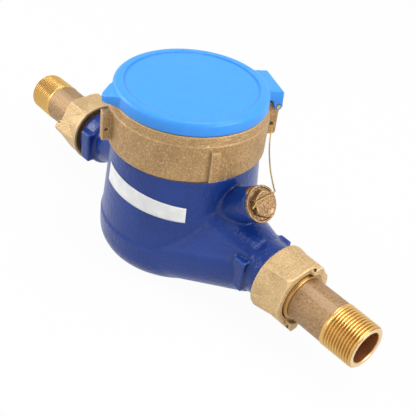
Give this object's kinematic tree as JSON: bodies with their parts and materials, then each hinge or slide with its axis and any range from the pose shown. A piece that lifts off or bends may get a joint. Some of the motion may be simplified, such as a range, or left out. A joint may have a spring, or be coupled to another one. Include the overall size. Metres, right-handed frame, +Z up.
{
  "type": "water meter",
  "caption": "Dry-dial multi-jet water meter: painted cast body with union nuts and threaded tailpieces, brass head ring, hinged lid over the register, wire-sealed regulator plug.",
  "frame": {"origin": "centre of the flat base, under the drum's axis", "axes": "+X along the pipe towards the inlet, +Z up"},
  "size_m": [0.3084, 0.1023, 0.1125],
  "materials": {
    "body_paint": "glossy enamel on a sand casting",
    "cast_brass": "shot-blasted casting",
    "turned_brass": "turned",
    "lid_plastic": "moulded, satin gloss",
    "rubber": "moulded",
    "white_plastic": "moulded",
    "red_plastic": "moulded",
    "steel": "ground",
    "ferrite": "pressed ferrite",
    "glass": "polished",
    "wire": "drawn, twisted"
  },
  "bodies": {
    "case": {"body_casting": "body_paint", "inlet_union_nut": "cast_brass", "outlet_union_nut": "cast_brass", "head_ring": "cast_brass", "inlet_tailpiece": "turned_brass", "outlet_tailpiece": "turned_brass", "regulator_plug": "turned_brass", "regulator_screw": "turned_brass", "hinge_pin": "turned_brass", "separating_plate": "turned_brass", "gear_frame": "turned_brass", "inlet_union_washer": "rubber", "outlet_union_washer": "rubber", "plug_washer": "rubber", "plate_gasket": "rubber", "slip_washer": "rubber", "strainer": "white_plastic", "chamber_cup": "white_plastic", "chamber_cover": "white_plastic", "register_can": "white_plastic", "dial_plate": "white_plastic", "dial_spacer": "white_plastic", "impeller_pivot": "steel", "number_axle": "steel", "glass": "glass", "seal_wire": "wire"},
    "lid": {"lid": "lid_plastic"},
    "impeller": {"impeller": "white_plastic", "impeller_magnet": "ferrite"},
    "drive": {"follower_magnet": "ferrite", "drive_pinion": "white_plastic"},
    "second": {"second_gear": "white_plastic", "flow_star": "red_plastic"},
    "third": {"third_gear": "white_plastic"},
    "sweep": {"sweep_gear": "white_plastic", "sweep_hand": "red_plastic"},
    "wheel_1": {"number_wheel_1": "white_plastic"},
    "wheel_2": {"number_wheel_2": "white_plastic"},
    "wheel_3": {"number_wheel_3": "white_plastic"},
    "wheel_4": {"number_wheel_4": "white_plastic"},
    "wheel_5": {"number_wheel_5": "white_plastic"}
  },
  "joints": [
    {"name": "lid_hinge", "type": "hinge", "parent": "case", "child": "lid", "pos_m": [0.01862, 0.04608, 0.1006], "axis": [-0.9272, 0.3746, 0], "range_deg": [0, 110]},
    {"name": "impeller_spin", "type": "hinge", "parent": "case", "child": "impeller", "pos_m": [0, 0, 0.03], "axis": [0, 0, 1], "continuous": true},
    {"name": "drive_spin", "type": "hinge", "parent": "case", "child": "drive", "pos_m": [0, 0, 0.074], "axis": [0, 0, 1], "continuous": true},
    {"name": "second_spin", "type": "hinge", "parent": "case", "child": "second", "pos_m": [0.00923, -0.01182, 0.075], "axis": [0, 0, 1], "continuous": true},
    {"name": "third_spin", "type": "hinge", "parent": "case", "child": "third", "pos_m": [0.01485, 0.00209, 0.08], "axis": [0, 0, 1], "continuous": true},
    {"name": "sweep_spin", "type": "hinge", "parent": "case", "child": "sweep", "pos_m": [0, 0, 0.08], "axis": [0, 0, 1], "continuous": true},
    {"name": "wheel_1_spin", "type": "hinge", "parent": "case", "child": "wheel_1", "pos_m": [0.00524, 0.01298, 0.0863], "axis": [0.9272, -0.3746, 0], "continuous": true},
    {"name": "wheel_2_spin", "type": "hinge", "parent": "case", "child": "wheel_2", "pos_m": [0.00524, 0.01298, 0.0863], "axis": [0.9272, -0.3746, 0], "continuous": true},
    {"name": "wheel_3_spin", "type": "hinge", "parent": "case", "child": "wheel_3", "pos_m": [0.00524, 0.01298, 0.0863], "axis": [0.9272, -0.3746, 0], "continuous": true},
    {"name": "wheel_4_spin", "type": "hinge", "parent": "case", "child": "wheel_4", "pos_m": [0.00524, 0.01298, 0.0863], "axis": [0.9272, -0.3746, 0], "continuous": true},
    {"name": "wheel_5_spin", "type": "hinge", "parent": "case", "child": "wheel_5", "pos_m": [0.00524, 0.01298, 0.0863], "axis": [0.9272, -0.3746, 0], "continuous": true}
  ],
  "couplings": [
    {"joint": "drive_spin", "follows": "impeller_spin", "ratio": 1},
    {"joint": "second_spin", "follows": "impeller_spin", "ratio": -0.2},
    {"joint": "third_spin", "follows": "impeller_spin", "ratio": 0.04},
    {"joint": "sweep_spin", "follows": "impeller_spin", "ratio": -0.02},
    {"joint": "wheel_1_spin", "follows": "impeller_spin", "ratio": 0.002},
    {"joint": "wheel_2_spin", "follows": "impeller_spin", "ratio": 0.0002},
    {"joint": "wheel_3_spin", "follows": "impeller_spin", "ratio": 0.00002},
    {"joint": "wheel_4_spin", "follows": "impeller_spin", "ratio": 0.000002},
    {"joint": "wheel_5_spin", "follows": "impeller_spin", "ratio": 0.0000002}
  ]
}
